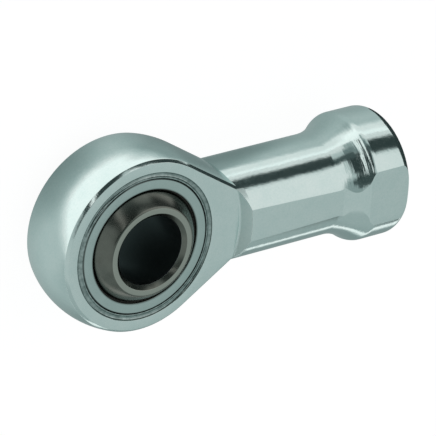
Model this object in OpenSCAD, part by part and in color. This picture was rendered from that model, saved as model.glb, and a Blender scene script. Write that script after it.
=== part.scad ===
// Rod eye: a forged rod end with a tapped shank and a dry-running spherical plain bearing.
// The pin bore runs along Z, the shank runs along +X to its tapped end, and the origin is the ball's centre.
// The part lies on the flats of its collar and the lower face of its ball, as it comes to rest on a table.

/* [Ball] */
// Diameter of the pin that the ball takes
bore_d = 12; // [10:0.25:12.5]
// Chamfer at each mouth of the pin bore
bore_chamfer = 0.5; // [0.2:0.1:0.8]
// Width over the ball's two flat faces
ball_w = 16; // [14.5:0.25:17]
// Width of each flat face from the bore's chamfer out to the sphere
ball_land = 1.213; // [0.9:0.001:1.6]
// Radius of the rounded edge between a flat face and the sphere
ball_edge_r = 0.7; // [0.3:0.05:0.9]

/* [Race and liner] */
// Radial play between the ball and its liner
play = 0.02; // [0.01:0.005:0.04]
// Thickness of the sliding liner
liner_t = 0.35; // [0.25:0.05:0.45]
// How far the liner's edge lies inside the race's face
liner_inset = 0.45; // [0.2:0.05:0.8]
// Thickness of the glue between the liner and the race
glue_t = 0.01; // [0.005:0.005:0.02]
// Thickness of the race where it is thinnest
race_wall = 0.36; // [0.3:0.02:0.6]
// How far the race's face lies below the head's face
race_inset = 0.12; // [0.05:0.01:0.2]
// Chamfer on the race's outer edges
race_chamfer = 0.24; // [0.1:0.02:0.3]
// Broken edge at the race's inner lip
race_lip = 0.14; // [0.05:0.01:0.2]
// Radial space between the race and its seat in the head
seat_gap = 0.01; // [0.005:0.005:0.02]

/* [Head] */
// Thickness of the head around the race, out to its ball-shaped crown
head_wall = 4.14; // [3.6:0.02:6]
// Width over the head's two machined faces
head_w = 12; // [11:0.25:13]
// How far the chamfer round each machined face cuts into the face
head_break = 0.28; // [0.1:0.02:0.5]
// Angle that each side of the neck makes with the shank
neck_angle = 33; // [28:1:38]
// Land between the race's seat and the staking groove
stake_land = 0.13; // [0.05:0.01:0.3]
// Width of the rolled groove that stakes the race
stake_w = 0.92; // [0.6:0.02:1.1]
// Depth of the staking groove
stake_depth = 0.36; // [0.2:0.02:0.44]
// How far the facing cutter ran past the crown towards the shank
facing_over = 2.4; // [1.5:0.1:3.5]
// Angle of the facing cutter's side from the face
facing_angle = 65; // [50:5:80]

/* [Shank] */
// Distance from the ball's centre to the tapped end
reach = 50; // [45:1:64]
// Diameter of the round shank
shank_d = 17.2; // [16.8:0.1:18]
// Diameter of the collar
collar_d = 22; // [21:0.25:24]
// Length of the collar from its front corner to the tapped end
collar_len = 6.5; // [5:0.25:9]
// Radius of the collar's front corner
collar_front_r = 1.95; // [1:0.05:2.2]
// Radius of the collar's rear corner
collar_rear_r = 1.7; // [1:0.05:2.2]
// Radius of the hollow between the shank and the collar
fillet_r = 9.1; // [6:0.1:10]
// How much steeper the flank is than the hollow's end, in degrees
flank_turn = 3; // [1:0.5:5]

/* [Flats] */
// Width over the collar's two flats
flats_w = 19.7; // [19.2:0.1:20.2]
// Step from a collar flat down to the shank's flat, beside the head
step_near = 1.75; // [1.6:0.05:2.2]
// Step from a collar flat down to the shank's flat, beside the collar
step_far = 1.56; // [1.4:0.02:1.6]
// Slope of the ramp between a shank flat and a collar flat
ramp_angle = 21; // [18:1:35]
// Distance from the ramp's upper end to the end of the collar's front corner
ramp_back = 1.3; // [0.5:0.1:2]
// Radius of the two curves at the ends of the ramp
flat_blend_r = 1.5; // [0.5:0.1:2.5]

/* [Thread] */
// Nominal diameter of the internal thread
thread_d = 12; // [10:1:12]
// Pitch of the thread
thread_pitch = 1.25; // [1:0.25:1.75]
// Depth of the tapped hole, without its drill point
thread_depth = 22; // [18:1:26]
// Point angle of the drill
drill_angle = 118; // [90:2:140]
// Radius of the small flat that the drill's chisel edge leaves
drill_tip_r = 0.4; // [0.2:0.1:0.8]
// How much wider the countersunk mouth is than the thread, on the radius
mouth_extra = 0.3; // [0:0.1:0.6]

/* [Hidden] */
$fn = 96;
// How far a cut runs past the surface that it opens
past = 1;
// Ball, liner and race, each from the one inside it
bore_r = bore_d / 2;
ball_h = ball_w / 2;
rim_r = bore_r + bore_chamfer + ball_land;
ball_r = norm([rim_r, ball_h]);
liner_ri = ball_r + play;
liner_ro = liner_ri + liner_t;
race_ri = liner_ro + glue_t;
race_r = race_ri + race_wall;
seat_r = race_r + seat_gap;
// Head
head_h = head_w / 2;
head_r = seat_r + head_wall;
face_r = sqrt(pow(head_r, 2) - pow(head_h, 2)) - head_break;
race_h = head_h - race_inset;
liner_h = race_h - liner_inset;
facing_r = head_r + facing_over;
// Circle that rolls the staking groove, in the section through the head's axis
stake_r = (pow(stake_w / 2, 2) + pow(stake_depth, 2)) / (2 * stake_depth);
stake_at = [seat_r + stake_land + stake_w / 2, head_h - stake_depth + stake_r];
// Shank and collar, in the section through the shank's axis
shank_r = shank_d / 2;
collar_r = collar_d / 2;
corner_at = [collar_r - collar_front_r, reach - collar_len];
hollow_r = shank_r + fillet_r;
hollow_x = corner_at[1] - sqrt(pow(fillet_r + collar_front_r, 2) - pow(hollow_r - corner_at[0], 2));
hollow_at = [hollow_r, hollow_x];
// The hollow and the corner meet in a short straight flank, a little steeper than the two arcs there
outward = (corner_at - hollow_at) / (fillet_r + collar_front_r);
flank = [-outward[1], outward[0]] * -cos(flank_turn) + outward * sin(flank_turn);
flank_len = 2 * fillet_r * sin(flank_turn);
meet = hollow_at + outward * fillet_r;
// The neck's sides run on until they are inside the round shank
neck_run = (face_r * cos(neck_angle) - sqrt(pow(shank_r, 2) - pow(head_h, 2))) / sin(neck_angle) + past / 2;
// Heights of the flats, and the ends of the ramp between them
flats_h = flats_w / 2;
near_h = flats_h - step_near;
far_h = flats_h - step_far;
curve_x = 2 * flat_blend_r * sin(ramp_angle);
curve_h = 2 * flat_blend_r * (1 - cos(ramp_angle));
blend_x1 = corner_at[1] - ramp_back;
blend_x0 = blend_x1 - curve_x - (step_far - curve_h) / tan(ramp_angle);
// Tapped hole
minor_r = (thread_d - 1.0825 * thread_pitch) / 2;
mouth_r = thread_d / 2 + mouth_extra;
point_len = (minor_r - drill_tip_r) / tan(drill_angle / 2);

// Half of the head's section: a circle cut by the two faces and their chamfers
module head_section() {
    slope = face_r + head_h;
    intersection() {
        circle(head_r);
        polygon([
            [0, -head_h], [face_r, -head_h], [slope, 0], [face_r, head_h], [0, head_h]
        ]);
    }
}

// The head is the section turned about the bore as far as the neck, with straight sides on down to the shank
module head() {
    from = 90 - neck_angle;
    rotate([0, 0, from]) rotate_extrude(angle = 360 - 2 * from) head_section();
    for (side = [0, 1])
        mirror([0, side, 0])
            rotate([0, 0, from])
                rotate([90, 0, 0])
                    linear_extrude(neck_run)
                        head_section();
}

// Section of the shank, its hollow and its collar: radius across, distance along the shank up
module shank_section() {
    middle = meet - flank * flank_len / 2;
    below = meet - flank * (flank_len + past / 2);
    above = meet + flank * past / 10;
    rear_at = [collar_r - collar_rear_r, reach - collar_rear_r];
    square([shank_r, hollow_at[1]]);
    difference() {
        translate([0, hollow_at[1]]) square([middle[0], middle[1] - hollow_at[1]]);
        translate(hollow_at) circle(fillet_r);
    }
    polygon([[0, below[1]], below, above, [0, above[1]]]);
    translate(corner_at) circle(collar_front_r);
    translate([0, corner_at[1]]) square([collar_r, rear_at[1] - corner_at[1]]);
    translate([0, corner_at[1]]) square([rear_at[0], reach - corner_at[1]]);
    translate(rear_at) intersection() {
        circle(collar_rear_r);
        square(collar_rear_r);
    }
}

module shank() {
    rotate([0, 90, 0]) rotate_extrude() shank_section();
}

// What the facing cutter takes off the shank above one face of the head
module facing_cut() {
    top = shank_r + past;
    rotate_extrude() polygon([
        [0, head_h], [facing_r, head_h], [facing_r + (top - head_h) / tan(facing_angle), top], [0, top]
    ]);
}

// What is taken off above one side's flats: length across, height up
module flats_section() {
    top = collar_r + past;
    slope = (far_h - near_h) / (blend_x0 - facing_r);
    start_x = head_r;
    end_x = reach + past;
    last = 4;
    curve = [for (i = [0:last]) flat_blend_r * [sin(i * ramp_angle / last), 1 - cos(i * ramp_angle / last)]];
    rise = [for (i = [0:last]) [blend_x0, far_h] + curve[i]];
    ease = [for (i = [0:last]) [blend_x1, flats_h] - curve[last - i]];
    polygon(concat(
        [[start_x, top], [start_x, near_h + slope * (start_x - facing_r)]],
        rise, ease,
        [[end_x, flats_h], [end_x, top]]
    ));
}

module flats_cut() {
    rotate([90, 0, 0]) linear_extrude(2 * collar_r + 2 * past, center = true) flats_section();
}

// The race's seat, right through the head, with the staking groove and the lowered land at each face
module seat_cut() {
    rotate_extrude() {
        for (up = [0, 1])
            mirror([0, up]) {
                square([seat_r, head_h + past]);
                translate([0, race_h]) square([stake_at[0], race_inset + past]);
                translate(stake_at) circle(stake_r);
            }
    }
}

// Tapped hole at its core diameter, with the drill point and a countersunk mouth
module thread_cut() {
    rotate([0, 90, 0]) rotate_extrude() polygon([
        [0, reach - thread_depth - point_len],
        [drill_tip_r, reach - thread_depth - point_len],
        [minor_r, reach - thread_depth],
        [minor_r, reach - (mouth_r - minor_r)],
        [mouth_r + past, reach + past],
        [0, reach + past]
    ]);
}

module housing() {
    color("lightslategray") difference() {
        union() {
            head();
            shank();
        }
        for (up = [0, 1])
            mirror([0, 0, up]) {
                facing_cut();
                flats_cut();
            }
        seat_cut();
        thread_cut();
    }
}

module race() {
    lip_r = sqrt(pow(race_ri, 2) - pow(race_h, 2)) + race_lip;
    color("gainsboro") rotate_extrude() difference() {
        polygon([
            [0, -race_h], [race_r - race_chamfer, -race_h], [race_r, race_chamfer - race_h],
            [race_r, race_h - race_chamfer], [race_r - race_chamfer, race_h], [0, race_h]
        ]);
        circle(race_ri);
        for (up = [0, 1])
            mirror([0, up])
                polygon([
                    [0, race_h - past], [lip_r - past, race_h - past],
                    [lip_r + past, race_h + past], [0, race_h + past]
                ]);
    }
}

module liner() {
    color("#2b2a28") rotate_extrude() intersection() {
        difference() {
            circle(liner_ro);
            circle(liner_ri);
        }
        translate([0, -liner_h]) square([liner_ro + past, 2 * liner_h]);
    }
}

module ball() {
    edge_at = [sqrt(pow(ball_r - ball_edge_r, 2) - pow(ball_h - ball_edge_r, 2)), ball_h - ball_edge_r];
    tangent = edge_at * ball_r / (ball_r - ball_edge_r);
    color("darkgray") rotate_extrude() difference() {
        union() {
            intersection() {
                circle(ball_r);
                translate([0, -tangent[1]]) square([ball_r + past, 2 * tangent[1]]);
            }
            for (up = [0, 1])
                mirror([0, up]) {
                    polygon([[0, 0], tangent, edge_at, [edge_at[0], ball_h], [0, ball_h]]);
                    intersection() {
                        translate(edge_at) circle(ball_edge_r);
                        translate([edge_at[0], tangent[1]]) square(ball_edge_r);
                    }
                }
        }
        translate([0, -ball_h - past]) square([bore_r, 2 * (ball_h + past)]);
        for (up = [0, 1])
            mirror([0, up])
                polygon([
                    [0, ball_h - bore_chamfer], [bore_r, ball_h - bore_chamfer],
                    [bore_r + bore_chamfer + past, ball_h + past], [0, ball_h + past]
                ]);
    }
}

housing();
race();
liner();
ball();
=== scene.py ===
"""Looks of the rod eye: finely cut pieces, materials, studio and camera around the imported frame."""
import math

import bmesh
import bpy
from mathutils import Matrix, Vector


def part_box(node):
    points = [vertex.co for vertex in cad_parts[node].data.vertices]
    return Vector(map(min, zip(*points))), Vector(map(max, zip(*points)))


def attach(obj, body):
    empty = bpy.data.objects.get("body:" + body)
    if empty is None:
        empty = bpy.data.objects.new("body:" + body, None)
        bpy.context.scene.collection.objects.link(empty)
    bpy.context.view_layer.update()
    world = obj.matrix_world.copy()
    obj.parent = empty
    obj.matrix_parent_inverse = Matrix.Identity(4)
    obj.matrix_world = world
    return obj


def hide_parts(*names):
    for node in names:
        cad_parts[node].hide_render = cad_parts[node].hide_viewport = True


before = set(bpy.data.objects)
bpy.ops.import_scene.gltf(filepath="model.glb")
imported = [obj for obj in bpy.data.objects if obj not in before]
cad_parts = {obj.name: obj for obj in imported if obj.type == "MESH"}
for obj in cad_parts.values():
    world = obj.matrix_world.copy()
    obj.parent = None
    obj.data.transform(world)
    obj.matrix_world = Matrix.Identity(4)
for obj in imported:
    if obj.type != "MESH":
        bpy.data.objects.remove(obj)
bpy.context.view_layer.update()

MM = 0.001


# Camera, at the photograph's viewing angle
CAMERA_AT = Vector((-284.69, 251.42, 411.22)) * MM
CAMERA_RIGHT = Vector((0.81922, 0.05303, 0.57103))
CAMERA_UP = Vector((0.21541, 0.89435, -0.39208))
CAMERA_BACK = Vector((-0.53149, 0.44421, 0.72125))
SENSOR_MM = 36.0
FOCAL_PX = 3490.0
PHOTO_PX = 436.0


def make_camera():
    data = bpy.data.cameras.new("camera")
    data.sensor_width = SENSOR_MM
    data.lens = FOCAL_PX / PHOTO_PX * SENSOR_MM
    data.clip_start = 0.01
    data.clip_end = 10.0
    camera = bpy.data.objects.new("camera", data)
    axes = Matrix((CAMERA_RIGHT, CAMERA_UP, CAMERA_BACK)).transposed().to_4x4()
    camera.matrix_world = Matrix.Translation(CAMERA_AT) @ axes
    bpy.context.scene.collection.objects.link(camera)
    bpy.context.scene.camera = camera


# Outlines, in millimetres. A rounded corner turns by no more than this from point to point
ARC_STEP_DEG = 9.0
# Two places nearer than this are one
TOUCHING = 1e-6


def arc(x, y, radius, start, end, steps):
    """Points on an arc round (x, y), angles in degrees."""
    turns = [math.radians(start + (end - start) * i / steps) for i in range(steps + 1)]
    return [(x + radius * math.cos(a), y + radius * math.sin(a)) for a in turns]


def round_off(outline):
    """Replaces each corner (x, y, radius) of an outline by an arc; plain points (x, y) stay."""
    points = []
    for i, corner in enumerate(outline):
        if len(corner) == 2:
            points.append(corner)
            continue
        here = Vector(corner[:2])
        back = (Vector(outline[i - 1][:2]) - here).normalized()
        ahead = (Vector(outline[(i + 1) % len(outline)][:2]) - here).normalized()
        half = back.angle(ahead) / 2
        middle = here + (back + ahead).normalized() * corner[2] / math.sin(half)
        first = here + back * corner[2] / math.tan(half) - middle
        last = here + ahead * corner[2] / math.tan(half) - middle
        start = math.degrees(math.atan2(first.y, first.x))
        turn = (math.degrees(math.atan2(last.y, last.x)) - start + 180.0) % 360.0 - 180.0
        steps = max(2, math.ceil(abs(turn) / ARC_STEP_DEG))
        points += arc(middle.x, middle.y, corner[2], start, start + turn, steps)
    return points


def mirrored(half):
    """Closed outline of a section from its upper half; a point on the middle plane isn't doubled."""
    return half + [(p[0], -p[1], *p[2:]) for p in reversed(half) if p[1] > TOUCHING]


def height_at(line, x):
    """Straight-line interpolation in a list of (x, height)."""
    for (x0, h0), (x1, h1) in zip(line, line[1:]):
        if x <= x1:
            return h0 + (h1 - h0) * (x - x0) / (x1 - x0)
    return line[-1][1]


# Solids, built in millimetres and scaled once they are finished. Points round a full turn:
# the turned pieces, the cutters of the head and the hole in the shank
RING_STEPS, CUTTER_STEPS, HOLE_STEPS = 240, 288, 144
# An edge that turns by more than this is shaded as an edge
SHARP_DEG = 14.0


def loft(name, rings, closed=False):
    """Solid through rings of equally many points; its ends are capped unless it closes on itself."""
    work = bmesh.new()
    rows = [[work.verts.new(point) for point in ring] for ring in rings]
    if not closed:
        work.faces.new(rows[0])
        work.faces.new(rows[-1])
    for a, b in zip(rows, rows[1:] + rows[:1] if closed else rows[1:]):
        for i in range(len(a)):
            work.faces.new((a[i - 1], a[i], b[i], b[i - 1]))
    bmesh.ops.recalc_face_normals(work, faces=work.faces)
    mesh = bpy.data.meshes.new(name)
    work.to_mesh(mesh)
    work.free()
    solid = bpy.data.objects.new(name, mesh)
    bpy.context.scene.collection.objects.link(solid)
    return solid


def full_turn(steps):
    return [2 * math.pi * i / steps for i in range(steps)]


def turned_z(name, profile):
    """Solid of revolution about Z from a profile of (height, radius)."""
    turns = full_turn(CUTTER_STEPS)
    return loft(name, [[(r * math.cos(a), r * math.sin(a), z) for a in turns] for z, r in profile])


def turned_x(name, profile):
    """Solid of revolution about X from a profile of (distance along, radius)."""
    turns = full_turn(HOLE_STEPS)
    return loft(name, [[(x, r * math.cos(a), r * math.sin(a)) for a in turns] for x, r in profile])


def ring_z(name, section):
    """Ring about Z from a closed section of (radius, height)."""
    turns = full_turn(RING_STEPS)
    rings = [[(r * math.cos(a), r * math.sin(a), z) for r, z in section] for a in turns]
    return loft(name, rings, closed=True)


def flipped(solid):
    """Copy of a solid mirrored in the XY plane."""
    mesh = solid.data.copy()
    mesh.transform(Matrix.Scale(-1.0, 4, (0.0, 0.0, 1.0)))
    mesh.flip_normals()
    copy = bpy.data.objects.new(solid.name + "_lower", mesh)
    bpy.context.scene.collection.objects.link(copy)
    return copy


def combine(base, operation, others):
    """Joins the other solids to base, or cuts them from it, and removes them."""
    for other in others:
        change = base.modifiers.new(other.name, "BOOLEAN")
        change.operation = operation
        change.solver = "MANIFOLD"
        change.object = other
    bpy.context.view_layer.update()
    shape = base.evaluated_get(bpy.context.evaluated_depsgraph_get())
    mesh = bpy.data.meshes.new_from_object(shape)
    base.modifiers.clear()
    base.data = mesh
    for other in others:
        bpy.data.objects.remove(other)


def finish_piece(piece, name, body, node):
    """Scales a finished solid to metres, shades it and puts it in the place of its CAD node."""
    piece.name = name
    piece.data.name = name
    piece.data.transform(Matrix.Scale(MM, 4))
    piece.data.shade_smooth()
    piece.data.set_sharp_from_angle(angle=math.radians(SHARP_DEG))
    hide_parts(node)
    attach(piece, body)


# Sizes of the real part, in millimetres, as in the CAD source, except that the break at the bore's mouth
# is wider here. Ball, liner and race: radii and half heights
BORE_R, BORE_BREAK = 6.0, 0.68
BALL_H, BALL_R, BALL_EDGE_R = 8.0, 11.1126, 0.7
LINER_RI, LINER_RO, LINER_H = 11.1326, 11.4826, 5.43
RACE_RI, RACE_R, RACE_H, RACE_CHAMFER, RACE_LIP = 11.4926, 11.8526, 5.88, 0.24, 0.14
# Head: the race's seat, the ball-shaped crown, the machined faces and the middle of the staking groove
SEAT_R, HEAD_R, HEAD_H, FACE_R = 11.8626, 16.0026, 6.0, 14.5552
STAKE_AT, STAKE_R = (12.4526, 6.1139), 0.4739
NECK_ANGLE, NECK_RUN = 33.0, 11.6
FACING_R, FACING_ANGLE, FACING_NOSE = 18.4026, 65.0, 0.4
# Shank and collar, the heights of their flats and the ramp between these
SHANK_R, COLLAR_R, REACH = 8.6, 11.0, 50.0
FILLET_R, FRONT_R, REAR_R, COLLAR_LEN = 9.1, 1.95, 1.7, 6.5
NEAR_H, FAR_H, FLATS_H = 8.1, 8.29, 9.85
RAMP_ANGLE, RAMP_BACK, BLEND_R = 21.0, 1.3, 1.5
HOLLOW_FROM, CORNER_X = 36.2, REACH - COLLAR_LEN
# Tapped hole: thread, end of the straight hole and the drill point
CORE_R, THREAD_R, PITCH, MOUTH_R = 5.3234, 6.0, 1.25, 6.3
HOLE_X, TIP_X, TIP_R = 28.0, 25.04, 0.4
# Radius of a broken edge
EDGE = 0.1
# The radius at which the head's section starts, and the place along X at which the shank does
HEAD_FROM_R, SHANK_FROM_X = 5.0, 13.0
# How far a cutter reaches past what it cuts
PAST = 1.0


def head_section():
    """Right half of the head's section, kept clear of its axis: (radius, height)."""
    total = FACE_R + HEAD_H
    corner = (total + math.sqrt(2 * HEAD_R ** 2 - total ** 2)) / 2
    top = math.degrees(math.asin((total - corner) / HEAD_R))
    crown = arc(0.0, 0.0, HEAD_R, top, -top, 32)
    return round_off(
        [(HEAD_FROM_R, -HEAD_H), (HEAD_FROM_R, HEAD_H), (FACE_R, HEAD_H, EDGE), (*crown[0], EDGE)]
        + crown[1:-1]
        + [(*crown[-1], EDGE), (FACE_R, -HEAD_H, EDGE)]
    )


def make_head():
    """The crown, turned about the bore, and the two straight sides of the neck."""
    section = head_section()
    start, steps = 90.0 - NECK_ANGLE, 164
    turns = [math.radians(start + (360.0 - 2 * start) * i / steps) for i in range(steps + 1)]
    head = loft("head", [[(r * math.cos(a), r * math.sin(a), z) for r, z in section] for a in turns])
    sides = []
    for side in (1.0, -1.0):
        out = Vector((math.cos(turns[0]), side * math.sin(turns[0]), 0.0))
        on = Vector((math.sin(turns[0]), -side * math.cos(turns[0]), 0.0))
        near = [out * r + Vector((0.0, 0.0, z)) for r, z in section]
        far = [point + on * NECK_RUN for point in near]
        sides.append(loft("side", (near, far)))
    return head, sides


def shank_outline():
    """Radius along the shank: round shank, hollow, front corner, collar and rear corner."""
    corner_r = COLLAR_R - FRONT_R
    hollow_r = SHANK_R + FILLET_R
    across = hollow_r - corner_r
    hollow_x = CORNER_X - math.sqrt((FILLET_R + FRONT_R) ** 2 - across ** 2)
    steep = math.degrees(math.acos(across / (FILLET_R + FRONT_R)))
    hollow = arc(hollow_x, hollow_r, FILLET_R, -90.0, -90.0 + steep, 24)
    front = arc(CORNER_X, corner_r, FRONT_R, 90.0 + steep, 90.0, 16)
    rear = arc(REACH - REAR_R, COLLAR_R - REAR_R, REAR_R, 90.0, 0.0, 20)
    straight = [(x, SHANK_R) for x in (SHANK_FROM_X, 16.0, 26.0)]
    return straight + hollow + front[1:] + rear


def flats_outline():
    """Height of the flats along the shank: shank flat, ramp and collar flat."""
    turn = math.radians(RAMP_ANGLE)
    end_x = CORNER_X - RAMP_BACK
    straight = (FLATS_H - FAR_H - 2 * BLEND_R * (1 - math.cos(turn))) / math.tan(turn)
    start_x = end_x - 2 * BLEND_R * math.sin(turn) - straight
    slope = (FAR_H - NEAR_H) / (start_x - FACING_R)
    return (
        [(SHANK_FROM_X, NEAR_H + slope * (SHANK_FROM_X - FACING_R))]
        + arc(start_x, FAR_H + BLEND_R, BLEND_R, -90.0, -90.0 + RAMP_ANGLE, 8)
        + arc(end_x, FLATS_H - BLEND_R, BLEND_R, 90.0 + RAMP_ANGLE, 90.0, 8)
        + [(REACH + PAST, FLATS_H)]
    )


def shank_ring(x, radius, height):
    """Ring round the X axis: a circle cut by two flats, with rounded edges between them."""
    round_steps, flat_steps, least_flat = 44, 4, 0.02
    inner = radius - EDGE
    middle_z = min(height - EDGE, math.sqrt(inner ** 2 - least_flat ** 2))
    middle_y = math.sqrt(inner ** 2 - middle_z ** 2)
    meet = math.degrees(math.atan2(middle_z, middle_y))
    quarter = arc(0.0, 0.0, radius, 0.0, meet, round_steps)
    quarter += arc(middle_y, middle_z, EDGE, meet, 90.0, flat_steps)[1:]
    quarter += [(middle_y * (1 - i / flat_steps), middle_z + EDGE) for i in range(1, flat_steps + 1)]
    ring = list(quarter)
    ring += [(-y, z) for y, z in reversed(quarter[:-1])]
    ring += [(-y, -z) for y, z in quarter[1:]]
    ring += [(y, -z) for y, z in reversed(quarter[1:-1])]
    return [(x, y, z) for y, z in ring]


def make_shank():
    """Shank and collar, lofted through every station where the round or the flat outline turns."""
    shank, flats = shank_outline(), flats_outline()
    stations = sorted({round(x, 4) for x, _ in shank + flats if x < REACH})
    rings = [shank_ring(x, height_at(shank, x), height_at(flats, x)) for x in stations]
    rings.append(shank_ring(REACH, COLLAR_R - REAR_R, FLATS_H))
    return loft("shank", rings)


def make_seat_cut():
    """Cutter for the race's seat, the lowered land and the staking groove at each face."""
    stake_r, stake_z = STAKE_AT
    low = math.degrees(math.atan2(-math.sqrt(STAKE_R ** 2 - (stake_z - RACE_H) ** 2), RACE_H - stake_z))
    high = math.degrees(math.atan2(math.sqrt(STAKE_R ** 2 - (stake_z - HEAD_H) ** 2), HEAD_H - stake_z))
    groove = arc(stake_z, stake_r, STAKE_R, low + 360.0, high, 16)
    land_low, land_high, out_r = HEAD_H + 0.003, HEAD_H + PAST, stake_r + 1.2
    upper = (
        [(0.0, SEAT_R), (RACE_H, SEAT_R, 0.04), (*groove[0], 0.03)]
        + groove[1:-1]
        + [(*groove[-1], 0.07), (land_low, out_r), (land_high, out_r)]
    )
    upper = round_off([(-PAST, SEAT_R)] + upper + [(land_high + PAST, out_r)])[1:-1]
    lower = [(-z, r) for z, r in reversed(upper[1:])]
    return turned_z("seat_cut", lower + upper)


def make_facing_cut():
    """Cutter that faced the head and ran a little way into the shank."""
    deep, floor = 6.0, HEAD_H + 0.0005
    out = deep / math.tan(math.radians(FACING_ANGLE))
    profile = round_off([(floor, 0.0), (floor, FACING_R, FACING_NOSE), (HEAD_H + deep, FACING_R + out)])
    return turned_z("facing_cut", profile[1:])


def make_hole_cut():
    """Cutter for the tapped hole, its drill point and its countersunk mouth."""
    mouth_x = REACH - (MOUTH_R - CORE_R)
    profile = [(TIP_X, TIP_R), (HOLE_X, CORE_R), (mouth_x, CORE_R), (REACH + PAST, MOUTH_R + PAST)]
    return turned_x("hole_cut", profile)


def make_thread_cut():
    """Cutter for the right-hand thread: a trapezium swept along a helix, fading out at its inner end."""
    start, end = HOLE_X + 0.7, REACH + 1.5
    per_turn, fade_turns, flank_deg = 72, 0.8, 30.0
    base = CORE_R - 0.15
    crest = PITCH / 16
    wide = crest + (THREAD_R - base) * math.tan(math.radians(flank_deg))
    rings = []
    for i in range(int((end - start) / PITCH * per_turn) + 1):
        turns = i / per_turn
        a, x = 2 * math.pi * turns, start + PITCH * turns
        sink = (THREAD_R - base) * max(0.0, 1.0 - turns / fade_turns)
        section = ((-wide, base), (wide, base), (crest, THREAD_R), (-crest, THREAD_R))
        rings.append([(x + dx, (r - sink) * math.cos(a), (r - sink) * math.sin(a)) for dx, r in section])
    return loft("thread_cut", rings)


def make_housing():
    """The eye: crown, neck, shank and collar in one, with everything that was machined in it."""
    head, sides = make_head()
    combine(head, "UNION", sides + [make_shank()])
    facing = make_facing_cut()
    cuts = [facing, flipped(facing), make_seat_cut(), make_hole_cut(), make_thread_cut()]
    combine(head, "DIFFERENCE", cuts)
    finish_piece(head, "forged_housing", "eye", "housing")
    return head


def make_race():
    """Thin ring, hollow to a sphere, with broken edges."""
    deep = RACE_LIP + math.sqrt(RACE_RI ** 2 - RACE_H ** 2)
    total = deep + RACE_H
    drop = (total - math.sqrt(2 * RACE_RI ** 2 - (deep - RACE_H) ** 2)) / 2
    edge = math.degrees(math.atan2(RACE_H - drop, deep - drop))
    inside = arc(0.0, 0.0, RACE_RI, 0.0, edge, 24)
    half = inside[:-1] + [
        (*inside[-1], 0.03), (deep, RACE_H, 0.04),
        (RACE_R - RACE_CHAMFER, RACE_H, 0.05), (RACE_R, RACE_H - RACE_CHAMFER, 0.05)
    ]
    race = ring_z("race", round_off(mirrored(half)))
    finish_piece(race, "race_ring", "eye", "race")
    return race


def make_liner():
    """Zone of a thin hollow sphere."""
    inner = math.degrees(math.asin(LINER_H / LINER_RI))
    outer = math.degrees(math.asin(LINER_H / LINER_RO))
    section = arc(0.0, 0.0, LINER_RI, -inner, inner, 40) + arc(0.0, 0.0, LINER_RO, outer, -outer, 40)
    liner = ring_z("liner", section)
    finish_piece(liner, "liner_zone", "eye", "liner")
    return liner


def make_ball():
    """Sphere with two flat faces and the pin bore."""
    edge_z = BALL_H - BALL_EDGE_R
    edge_x = math.sqrt((BALL_R - BALL_EDGE_R) ** 2 - edge_z ** 2)
    meet = math.degrees(math.atan2(edge_z, edge_x))
    half = (
        [(BORE_R, BALL_H - BORE_BREAK, 0.1), (BORE_R + BORE_BREAK, BALL_H, 0.12)]
        + arc(edge_x, edge_z, BALL_EDGE_R, 90.0, meet, 12)[:-1]
        + arc(0.0, 0.0, BALL_R, meet, 0.0, 44)
    )
    ball = ring_z("ball", round_off(mirrored(half)))
    finish_piece(ball, "ground_ball", "ball", "ball")
    return ball


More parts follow.
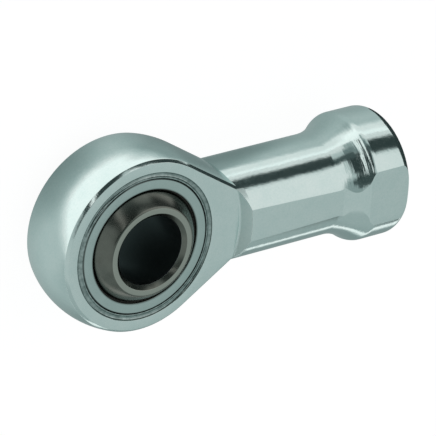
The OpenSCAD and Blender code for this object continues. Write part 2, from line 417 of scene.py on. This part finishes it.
class Nodes:
    """Short calls for building a node tree."""

    def __init__(self, tree):
        self.tree = tree
        tree.nodes.clear()

    def add(self, kind, **settings):
        node = self.tree.nodes.new(kind)
        for name, value in settings.items():
            setattr(node, name, value)
        return node

    def feed(self, socket, value):
        """Sets a socket to a constant, or links it to another socket."""
        if isinstance(value, bpy.types.NodeSocket):
            self.tree.links.new(value, socket)
        else:
            socket.default_value = value

    def math(self, operation, *values, clamp=False):
        node = self.add("ShaderNodeMath", operation=operation, use_clamp=clamp)
        for socket, value in zip(node.inputs, values):
            self.feed(socket, value)
        return node.outputs[0]

    def times(self, first, *others):
        for other in others:
            first = self.math("MULTIPLY", first, other)
        return first

    def plus(self, first, *others):
        for other in others:
            first = self.math("ADD", first, other)
        return first

    def minus(self, a, b):
        return self.math("SUBTRACT", a, b)

    def away(self, a, b):
        """Distance between two values."""
        return self.math("ABSOLUTE", self.minus(a, b))

    def vector(self, operation, a, b=None, factor=None):
        node = self.add("ShaderNodeVectorMath", operation=operation)
        self.feed(node.inputs[0], a)
        if b is not None:
            self.feed(node.inputs[1], b)
        if factor is not None:
            self.feed(node.inputs["Scale"], factor)
        return node.outputs["Value" if operation in ("LENGTH", "DOT_PRODUCT") else "Vector"]

    def split(self, vector):
        node = self.add("ShaderNodeSeparateXYZ")
        self.feed(node.inputs[0], vector)
        return tuple(node.outputs)

    def join(self, x, y, z):
        node = self.add("ShaderNodeCombineXYZ")
        for socket, value in zip(node.inputs, (x, y, z)):
            self.feed(socket, value)
        return node.outputs[0]

    def length(self, x, y, z=0.0):
        return self.vector("LENGTH", self.join(x, y, z))

    def step(self, value, low, high):
        """0 below low, 1 above high and a smooth rise between them; low may be the larger one."""
        node = self.add("ShaderNodeMapRange", interpolation_type="SMOOTHSTEP")
        self.feed(node.inputs["Value"], value)
        self.feed(node.inputs["From Min"], low)
        self.feed(node.inputs["From Max"], high)
        return node.outputs["Result"]

    def near(self, value, at, inside, outside):
        """1 where value is within inside of at, and 0 where it is more than outside away."""
        return self.step(self.away(value, at), outside, inside)

    def mix(self, factor, a, b):
        node = self.add("ShaderNodeMix", data_type="RGBA")
        self.feed(node.inputs["Factor"], factor)
        self.feed(node.inputs[6], a)
        self.feed(node.inputs[7], b)
        return node.outputs[2]

    def blend(self, factor, a, b):
        """The same for two plain values."""
        node = self.add("ShaderNodeMix", data_type="FLOAT")
        self.feed(node.inputs["Factor"], factor)
        self.feed(node.inputs[2], a)
        self.feed(node.inputs[3], b)
        return node.outputs[0]

    def noise(self, where, scale, depth=1.0, detail=2.0, rough=0.5):
        """Noise round 0, from half of depth below it to half of depth above it."""
        node = self.add("ShaderNodeTexNoise")
        self.feed(node.inputs["Vector"], where)
        self.feed(node.inputs["Scale"], scale)
        self.feed(node.inputs["Detail"], detail)
        self.feed(node.inputs["Roughness"], rough)
        return self.times(self.minus(node.outputs["Fac"], 0.5), depth)

    def bump(self, height_mm):
        """Shading normal from a height in millimetres."""
        node = self.add("ShaderNodeBump")
        node.inputs["Strength"].default_value = 1.0
        node.inputs["Distance"].default_value = MM
        self.feed(node.inputs["Height"], height_mm)
        return node.outputs["Normal"]

    def surface(self, shader, kind="Material"):
        """Makes a shader the surface of the material, or of the world."""
        out = self.add("ShaderNodeOutput" + kind)
        self.feed(out.inputs["Surface"], shader.outputs[0])


# Colours of the metals and the cloth, as linear light
PLATE_DULL, PLATE_BRIGHT = (0.69, 0.84, 0.82, 1.0), (0.76, 0.885, 0.865, 1.0)
# The second colour on the next line is painted shade for the staking groove
PLATE_WORN, PLATE_GROOVE_SHADE = (0.83, 0.90, 0.89, 1.0), (0.24, 0.31, 0.30, 1.0)
RACE_DULL, RACE_BRIGHT = (0.46, 0.58, 0.56, 1.0), (0.52, 0.64, 0.62, 1.0)
# Painted shade for the race's outer and inner rims
RACE_RIM_SHADE = (0.07, 0.085, 0.08, 1.0)
CLOTH_LOW, CLOTH_HIGH = (0.018, 0.016, 0.014, 1.0), (0.05, 0.045, 0.035, 1.0)
BALL_DULL, BALL_BRIGHT = (0.15, 0.16, 0.14, 1.0), (0.20, 0.215, 0.19, 1.0)
BALL_WORN, BALL_END, BALL_BORE = (0.50, 0.53, 0.49, 1.0), (0.40, 0.43, 0.385, 1.0), (0.21, 0.24, 0.24, 1.0)

# Distance in millimetres between the rings that the cutter left on each turned face
HEAD_FEED, END_FEED, RACE_FEED, BALL_FEED = 0.31, 0.23, 0.17, 0.14
# Where the milling of the flats starts along X, and how far below the lowest flat its band reaches
MILLED_FROM, FLAT_BAND = 18.6, 0.2
# Radius out to which the staking groove is painted dark as painted shade, and the radius of the race's
# inner rim of painted shade
GROOVE_OUT, RACE_RIM_IN = STAKE_AT[0] + 0.46, 10.02
# The liner's weave: threads round it, and their distance up it
WEAVE_TURNS, WEAVE_PITCH = 90.0, 0.5
# Width over which a sharp edge is worn bright, on the plating and on the ball
PLATE_WEAR, BALL_WEAR = 0.12, 0.1


def new_material(name):
    material = bpy.data.materials.new(name)
    material.use_nodes = True
    return material, Nodes(material.node_tree)


def metal_shader(n, colour, roughness, normal, metallic=1.0):
    shader = n.add("ShaderNodeBsdfPrincipled")
    n.feed(shader.inputs["Metallic"], metallic)
    n.feed(shader.inputs["Base Color"], colour)
    n.feed(shader.inputs["Roughness"], roughness)
    n.feed(shader.inputs["Normal"], normal)
    n.surface(shader)


def millimetres(n):
    """Place on the piece in millimetres: the vector, its parts and the distance from the bore's axis."""
    where = n.vector("SCALE", n.add("ShaderNodeTexCoord").outputs["Object"], factor=1 / MM)
    x, y, z = n.split(where)
    return where, x, y, z, n.length(x, y)


def worn_edges(n, radius_mm):
    """1 on a sharp outer edge and 0 away from it."""
    soft = n.add("ShaderNodeBevel", samples=4)
    soft.inputs["Radius"].default_value = radius_mm * MM
    true = n.add("ShaderNodeNewGeometry").outputs["Normal"]
    return n.step(n.vector("DOT_PRODUCT", soft.outputs[0], true), 0.995, 0.93)


def turning_marks(n, radius, feed, depth):
    """Height in millimetres of the fine rings that a cutter leaves round its axis."""
    along = n.join(radius, 0.0, 0.0)
    wander = n.noise(along, scale=1.7, depth=9.0, detail=3.0)
    rings = n.math("SINE", n.plus(n.times(radius, 2 * math.pi / feed), wander))
    return n.times(n.plus(rings, n.noise(along, scale=9.0, depth=4.0)), depth)


def zinc_plate():
    """Bright zinc over a forging, with machined faces, milled flats and painted shade in the staking
    groove.
    """
    material, n = new_material("zinc_plate")
    where, x, y, z, radius = millimetres(n)
    high = n.math("ABSOLUTE", z)
    upward = n.math("ABSOLUTE", n.split(n.add("ShaderNodeTexCoord").outputs["Normal"])[2])

    # Where each finish is: the head's faces, the flats, the facing cutter's wall, the tapped end, the rest
    faced = n.times(n.near(high, HEAD_H, 0.01, 0.03), n.step(radius, FACING_R + 0.3, FACING_R))
    flat = n.step(high, NEAR_H - FLAT_BAND, NEAR_H - FLAT_BAND / 2)
    milled = n.times(n.step(upward, 0.9, 0.97), n.step(x, MILLED_FROM, MILLED_FROM + 0.3), flat)
    above_face = n.step(high, HEAD_H - 0.1, HEAD_H + 0.1)
    wall = n.times(n.near(radius, FACING_R + 0.5, 0.6, 0.8), above_face, n.step(upward, 0.9, 0.8))
    end = n.step(x, REACH - 0.06, REACH - 0.02)
    forged = n.math("SUBTRACT", 1.0, n.plus(faced, milled, wall, end), clamp=True)

    # Heights in millimetres
    swell = n.noise(where, scale=0.16, depth=0.055, detail=1.0)
    dents = n.noise(where, scale=1.0, depth=0.014)
    grain = n.noise(where, scale=5.0, depth=0.0025, detail=3.0, rough=0.6)
    stretched = n.join(n.times(x, 2.2), n.times(y, 0.16), n.times(z, 0.16))
    hollow = n.times(n.step(x, HOLLOW_FROM, HOLLOW_FROM + 1.5), n.step(x, CORNER_X + 0.8, CORNER_X - 0.4))
    drawn = n.times(n.noise(stretched, scale=1.0, depth=0.03), hollow)
    rough_skin = n.plus(swell, dents, grain, drawn)
    strokes = n.noise(n.join(n.times(x, 9.0), n.times(y, 0.5), 0.0), scale=1.0, depth=0.0012)
    machined = n.plus(
        n.times(faced, turning_marks(n, radius, HEAD_FEED, 0.0002)),
        n.times(milled, strokes),
        n.times(end, turning_marks(n, n.length(0.0, y, z), END_FEED, 0.0008)),
    )
    waves = n.noise(where, scale=0.13, depth=0.01, detail=1.0)
    height = n.plus(n.times(forged, rough_skin), machined, waves, n.times(grain, 0.4))

    clouds = n.plus(n.noise(where, scale=0.35, depth=1.6, detail=3.0), n.noise(where, scale=2.8, depth=1.3))
    colour = n.mix(n.plus(0.5, clouds), PLATE_DULL, PLATE_BRIGHT)
    worn = worn_edges(n, PLATE_WEAR)
    colour = n.mix(n.times(worn, 0.5), colour, PLATE_WORN)
    # Painted shade darkens the floor of the staking groove
    in_groove = n.step(radius, GROOVE_OUT + 0.02, GROOVE_OUT - 0.05)
    groove_shade = n.times(in_groove, n.step(high, HEAD_H - 0.01, HEAD_H - 0.05))
    colour = n.mix(n.times(groove_shade, n.plus(0.8, n.noise(where, scale=1.5))), colour, PLATE_GROOVE_SHADE)
    roughness = n.plus(
        n.blend(forged, 0.19, 0.10),
        n.noise(where, scale=1.3, depth=0.08, detail=3.0),
        n.times(wall, 0.25),
        n.times(end, 0.3),
        n.times(worn, 0.05),
    )
    metal_shader(n, colour, roughness, n.bump(height))
    return material


def race_steel():
    """Turned steel with fine rings on its face, and painted shade at its outer and inner rims."""
    material, n = new_material("race_steel")
    where, _, _, _, radius = millimetres(n)
    height = n.plus(turning_marks(n, radius, RACE_FEED, 0.0003), n.noise(where, scale=5.0, depth=0.0008))
    clouds = n.noise(where, scale=0.6, detail=3.0)
    colour = n.mix(n.plus(0.5, clouds), RACE_DULL, RACE_BRIGHT)
    # Painted shade on the race's outer and inner rims
    outer_rim_shade = n.step(radius, RACE_R - 0.36, RACE_R - 0.2)
    inner_rim_shade = n.times(n.step(radius, RACE_RIM_IN + 0.23, RACE_RIM_IN), 0.6)
    colour = n.mix(n.times(n.plus(outer_rim_shade, inner_rim_shade), 0.85), colour, RACE_RIM_SHADE)
    roughness = n.plus(0.2, n.noise(where, scale=2.0, depth=0.1))
    metal_shader(n, colour, roughness, n.bump(height))
    return material


def liner_cloth():
    """Dark woven sliding cloth, set in resin."""
    material, n = new_material("liner_cloth")
    where, x, y, z, _ = millimetres(n)
    around = n.times(n.math("ARCTAN2", y, x), WEAVE_TURNS)
    weave = n.times(n.math("SINE", around), n.math("SINE", n.times(z, 2 * math.pi / WEAVE_PITCH)))
    colour = n.mix(n.plus(0.5, n.times(weave, 0.5)), CLOTH_LOW, CLOTH_HIGH)
    roughness = n.plus(0.62, n.noise(where, scale=3.0, depth=0.2))
    metal_shader(n, colour, roughness, n.bump(n.times(weave, 0.01)), metallic=0.0)
    return material


def ball_steel():
    """Hardened ball: ground sphere, faced ends and a honed bore."""
    material, n = new_material("ball_steel")
    where, x, y, z, radius = millimetres(n)
    end = n.step(n.math("ABSOLUTE", z), BALL_H - 0.03, BALL_H - 0.01)
    bore = n.step(radius, BORE_R + 0.05, BORE_R + 0.01)

    # Heights in millimetres
    ground = n.join(n.times(z, 14.0), n.times(x, 0.4), n.times(y, 0.4))
    honed = n.join(n.times(z, 5.0), n.times(n.math("ARCTAN2", y, x), 14.0), 0.0)
    ground_marks = n.noise(ground, scale=1.0, depth=0.0002, detail=3.0)
    honed_marks = n.noise(honed, scale=1.0, depth=0.001, detail=3.0)
    faced_marks = turning_marks(n, radius, BALL_FEED, 0.00035)
    marks = n.blend(end, n.blend(bore, ground_marks, honed_marks), faced_marks)
    height = n.plus(marks, n.noise(where, scale=4.0, depth=0.0006))

    clouds = n.noise(where, scale=0.5, depth=1.5, detail=3.0)
    colour = n.mix(n.plus(0.5, clouds), BALL_DULL, BALL_BRIGHT)
    colour = n.mix(end, colour, BALL_END)
    colour = n.mix(bore, colour, BALL_BORE)
    colour = n.mix(n.times(worn_edges(n, BALL_WEAR), 0.3), colour, BALL_WORN)
    spread = n.noise(where, scale=2.0, depth=0.06)
    roughness = n.plus(n.blend(end, 0.23, 0.22), spread, n.times(bore, 0.12))
    metal_shader(n, colour, roughness, n.bump(height))
    return material


def dress(piece, material):
    piece.data.materials.clear()
    piece.data.materials.append(material)


# The studio: a tent that only reflections and bounced light see, whose tones go by direction in degrees
TENT_R, TENT_AT = 1.1, (0.015, 0.0, 0.0)
TENT_TONE = 0.53
TONES = (
    # azimuth, half width, elevation, half height, soft edge, lean, tone
    (-75.0, 65.0, 12.0, 30.0, 8.0, 0.0, 0.43),
    (-75.0, 50.0, 1.0, 9.0, 8.0, 0.0, 0.39),
    (-41.0, 12.0, 12.0, 15.0, 3.0, 0.0, 0.04),
    (-150.0, 22.0, 32.0, 10.0, 6.0, 0.0, 0.55),
    (0.0, 180.0, 84.0, 14.0, 4.0, 0.0, 0.33),
    (57.0, 38.0, 0.0, 9.0, 4.0, 0.0, 0.76),
    (104.0, 12.0, 0.0, 9.0, 4.0, 0.0, 0.36),
    (101.0, 15.0, 15.0, 6.0, 3.0, 0.0, 0.22),
    (119.0, 29.0, 41.0, 19.0, 4.0, 0.5, 0.05),
    (132.0, 14.0, 10.0, 16.0, 3.0, 0.0, 0.07),
    (142.0, 28.0, 67.0, 8.0, 4.0, 0.0, 0.05),
    (135.0, 50.0, 77.0, 5.0, 4.0, 0.0, 0.08),
    (158.0, 20.0, 56.0, 16.0, 6.0, 0.0, 0.07),
    (119.5, 4.5, 15.0, 14.0, 2.0, 0.45, 0.92),
    (131.0, 4.5, 41.0, 13.5, 2.0, 0.75, 0.92),
    (34.0, 44.0, 47.0, 18.0, 4.0, 0.0, 0.79),
    (84.0, 27.0, 26.0, 6.0, 3.0, 0.3, 0.09),
    (29.0, 31.0, 17.0, 10.0, 3.0, 0.0, 0.05),
)
# The studio's light is white where it is strong and greenish where it is weak
RED_WEAK, RED_RISE, BLUE = 0.70, 0.40, 0.99
WHITE = (1.0, 1.0, 1.0, 1.0)
# A dark card beyond the tapped end: its corners in millimetres and its tone
END_CARD = ((56, -12, -9), (56, 14, -9), (62.5, 28, -0.84), (95, 40, 40), (95, -12, 40))
END_CARD_TONE = 0.045


def tinted(tone):
    return (tone * min(1.0, RED_WEAK + RED_RISE * tone), tone, tone * BLUE, 1.0)


def only_light(name, colour_of):
    """A material that gives light and takes none; colour_of makes its colour in the new tree."""
    material, n = new_material(name)
    light = n.add("ShaderNodeEmission")
    n.feed(light.inputs["Color"], colour_of(n))
    n.surface(light)
    material.cycles.emission_sampling = "NONE"
    return material


def tent_colour(n):
    """Colour by the direction from the tent's middle."""
    x, y, z = n.split(n.add("ShaderNodeTexCoord").outputs["Object"])
    elevation = n.math("DEGREES", n.math("ARCTAN2", z, n.length(x, y)))
    azimuth = n.math("DEGREES", n.math("ARCTAN2", y, x))
    colour = tinted(TENT_TONE)
    for az, half_w, el, half_h, soft, lean, tone in TONES:
        middle = n.plus(n.times(n.minus(elevation, el), lean), az)
        turn = n.math("WRAP", n.minus(azimuth, middle), 180.0, -180.0)
        across = n.near(turn, 0.0, half_w - soft, half_w + soft)
        up = n.near(elevation, el, half_h - soft, half_h + soft)
        colour = n.mix(n.times(across, up), colour, tinted(tone))
    return colour


def make_tent():
    bpy.ops.mesh.primitive_uv_sphere_add(segments=64, ring_count=32, radius=TENT_R, location=TENT_AT)
    tent = bpy.context.object
    tent.name = "tent"
    dress(tent, only_light("tent", tent_colour))
    tent.visible_camera = False
    tent.visible_transmission = False
    tent.visible_shadow = False


def make_end_card():
    mesh = bpy.data.meshes.new("end_card")
    mesh.from_pydata([Vector(corner) * MM for corner in END_CARD], [], [tuple(range(len(END_CARD)))])
    card = bpy.data.objects.new("end_card", mesh)
    bpy.context.scene.collection.objects.link(card)
    dress(card, only_light("end_card", lambda n: tinted(END_CARD_TONE)))
    card.visible_camera = False
    card.visible_diffuse = False
    card.visible_transmission = False
    card.visible_shadow = False


def make_world():
    """Plain white all round, which is the background."""
    world = bpy.data.worlds.new("studio")
    world.use_nodes = True
    bpy.context.scene.world = world
    n = Nodes(world.node_tree)
    background = n.add("ShaderNodeBackground")
    background.inputs["Color"].default_value = WHITE
    n.surface(background, "World")


FLOOR_SIZE = 3.0
# Where the ball's lower face and the collar's flat touch the table, along X
BALL_RESTS_AT, COLLAR_RESTS_AT = -7.43, 42.2
# The floor's diffuse tone for bounced light
TABLE_TONE = 0.8
# What the camera sees of it: white light, and a little diffuse that takes the shadow
SEEN_LIGHT, SEEN_TONE = 0.945, 0.15
# What the metal sees of it, by place in millimetres, is painted: it starts with the ground, darker behind
# the part as painted shade
GROUND, GROUND_SHADE_BEHIND, GROUND_FAR_BEHIND = 0.33, -0.09, 0.13
# A painted pool of light beside the head: where its edge lies, and how much it adds at the head and at the
# shank
POOL_FRONT, POOL_SLOPE, POOL_TURN, POOL_CORNER = 28.0, 0.15, 0.65, -10.0
POOL_AT_HEAD, POOL_AT_SHANK = 0.56, 0.31
# Painted light on the ground in front of the part and beyond the head, with a dip of painted shade close to
# the crown
FRONT_GAIN, HEAD_GAIN, DIP_SHADE_LOSS, DIP_AT = 0.12, 0.16, 0.14, (-14.0, 14.0)
# Shares of the level that stay beside the neck, and under the bore where light falls through it; the rest
# is taken off as painted shade
NECK_SHADE_SHARE, BORE_SHADE_SHARE = 0.6, 0.35
# The part's painted shade fades out between these distances from it; past them the metal sees a white floor
# too
SHADE_FROM, SHADE_TO = 70.0, 160.0


def mirrored_floor(n):
    """Level and tint of the floor as the metal shows it, with painted shade and a painted pool of light by
    place.
    """
    place = n.vector("SCALE", n.add("ShaderNodeNewGeometry").outputs["Position"], factor=1 / MM)
    x, y, _ = n.split(place)
    behind = n.times(n.step(y, -5.0, -30.0), GROUND_SHADE_BEHIND)
    far_behind = n.times(n.step(y, -60.0, -130.0), GROUND_FAR_BEHIND)
    ground = n.plus(behind, far_behind, GROUND)
    along = n.minus(x, POOL_CORNER)
    past_head = n.math("MINIMUM", along, 0.0)
    edge = n.plus(n.times(along, POOL_SLOPE), n.times(past_head, POOL_TURN), POOL_FRONT)
    pool = n.step(n.minus(y, edge), -7.0, n.minus(8.0, n.times(past_head, 0.5)))
    pool = n.times(pool, n.blend(n.step(x, 20.0, 50.0), POOL_AT_HEAD, POOL_AT_SHANK))
    front = n.times(n.step(y, 10.0, 24.0), FRONT_GAIN)
    beyond_head = n.times(n.step(x, -5.0, -25.0), HEAD_GAIN)
    from_dip = n.length(n.minus(x, DIP_AT[0]), n.minus(y, DIP_AT[1]))
    # A dip of painted shade close to the crown
    dip_shade = n.times(n.step(from_dip, 16.0, 4.0), -DIP_SHADE_LOSS)
    level = n.math("MINIMUM", n.plus(ground, pool, front, beyond_head, dip_shade), 1.0)

    # Painted shade beside the neck and under the bore
    neck_x = n.times(n.step(x, 0.0, 14.0), n.step(x, 42.0, 28.0))
    neck_y = n.times(n.step(y, 3.0, 9.0), n.step(y, 54.0, 36.0))
    level = n.times(level, n.blend(n.times(neck_x, neck_y), 1.0, NECK_SHADE_SHARE))
    through = n.times(n.step(n.minus(x, y), -4.0, 10.0), BORE_SHADE_SHARE)
    level = n.times(level, n.math("MAXIMUM", n.step(n.length(x, y), 9.0, 15.0), through))

    past_ends = n.math("MAXIMUM", n.math("MAXIMUM", n.times(x, -1.0), n.minus(x, REACH)), 0.0)
    level = n.blend(n.step(n.length(past_ends, y), SHADE_FROM, SHADE_TO), level, SEEN_LIGHT)
    red = n.math("MINIMUM", n.plus(RED_WEAK, n.times(level, RED_RISE)), 1.0)
    return level, n.join(red, 1.0, BLUE)


def floor_surface():
    """White to the camera, with painted shade and a painted pool of light to the metal, and a pale table to
    bounced light.
    """
    material, n = new_material("floor")
    rays = n.add("ShaderNodeLightPath")
    seen = n.math("MAXIMUM", rays.outputs["Is Camera Ray"], rays.outputs["Is Transmission Ray"])
    glossy = rays.outputs["Is Glossy Ray"]
    diffuse = n.add("ShaderNodeBsdfDiffuse")
    tone = n.blend(n.math("MAXIMUM", seen, glossy), TABLE_TONE, SEEN_TONE)
    n.feed(diffuse.inputs["Color"], n.join(tone, tone, tone))
    light = n.add("ShaderNodeEmission")
    level, tint = mirrored_floor(n)
    n.feed(light.inputs["Color"], n.mix(glossy, WHITE, tint))
    n.feed(light.inputs["Strength"], n.plus(n.times(seen, SEEN_LIGHT), n.times(glossy, level)))
    both = n.add("ShaderNodeAddShader")
    n.feed(both.inputs[0], diffuse.outputs[0])
    n.feed(both.inputs[1], light.outputs[0])
    n.surface(both)
    material.cycles.emission_sampling = "NONE"
    return material


def make_floor():
    """Pale table under the collar's flat and the ball's lower face."""
    ball_low, collar_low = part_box("ball")[0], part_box("housing")[0]
    rest_a = Vector((BALL_RESTS_AT * MM, 0.0, ball_low.z))
    rest_b = Vector((COLLAR_RESTS_AT * MM, 0.0, collar_low.z))
    slope = math.atan2(rest_a.z - rest_b.z, rest_b.x - rest_a.x)
    middle = (rest_a + rest_b) / 2
    bpy.ops.mesh.primitive_plane_add(size=FLOOR_SIZE, location=middle, rotation=(0.0, slope, 0.0))
    floor = bpy.context.object
    floor.name = "floor"
    dress(floor, floor_surface())


make_camera()
make_world()
make_tent()
make_floor()
make_end_card()
dress(make_housing(), zinc_plate())
dress(make_race(), race_steel())
dress(make_liner(), liner_cloth())
dress(make_ball(), ball_steel())

scene = bpy.context.scene
scene.view_settings.view_transform = "Standard"
